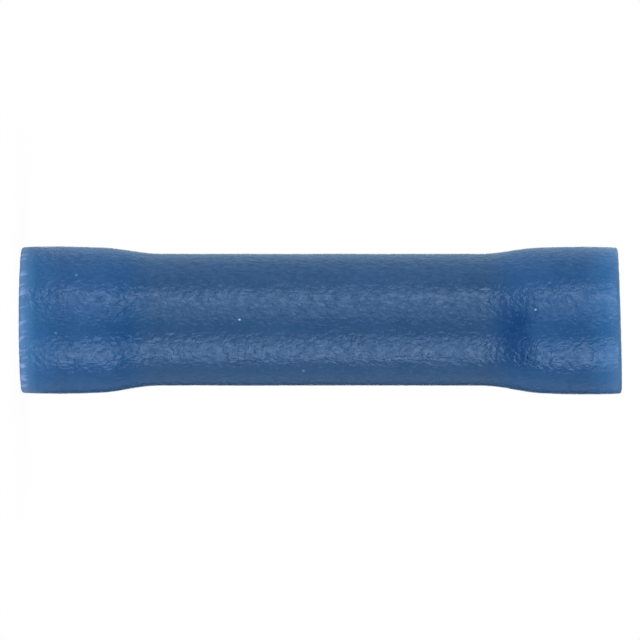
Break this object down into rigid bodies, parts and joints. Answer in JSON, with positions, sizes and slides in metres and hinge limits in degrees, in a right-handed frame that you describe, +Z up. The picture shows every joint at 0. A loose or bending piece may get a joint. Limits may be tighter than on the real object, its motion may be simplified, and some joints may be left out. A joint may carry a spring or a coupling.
{
  "type": "butt splice connector",
  "caption": "Insulated butt splice: a tin-plated tube with a wire stop in its middle, in a blue plastic sleeve whose widened mouths take two wires end to end.",
  "frame": {"origin": "middle of the lower end, on the axis, in the plane of the end face that the part stands on", "axes": "+Z up along the axis of both wire bores; +X towards the longer side of the upper end, whose cut is a little out of square"},
  "size_m": [0.0064, 0.0064, 0.0261],
  "materials": {
    "sleeve_vinyl": "blue vinyl, faintly wrinkled skin with a soft satin sheen",
    "tin_plate": "tin-plated drawn copper, satin"
  },
  "bodies": {
    "root": {"insulation_sleeve": "sleeve_vinyl", "conductor_barrel": "tin_plate"}
  },
  "joints": []
}
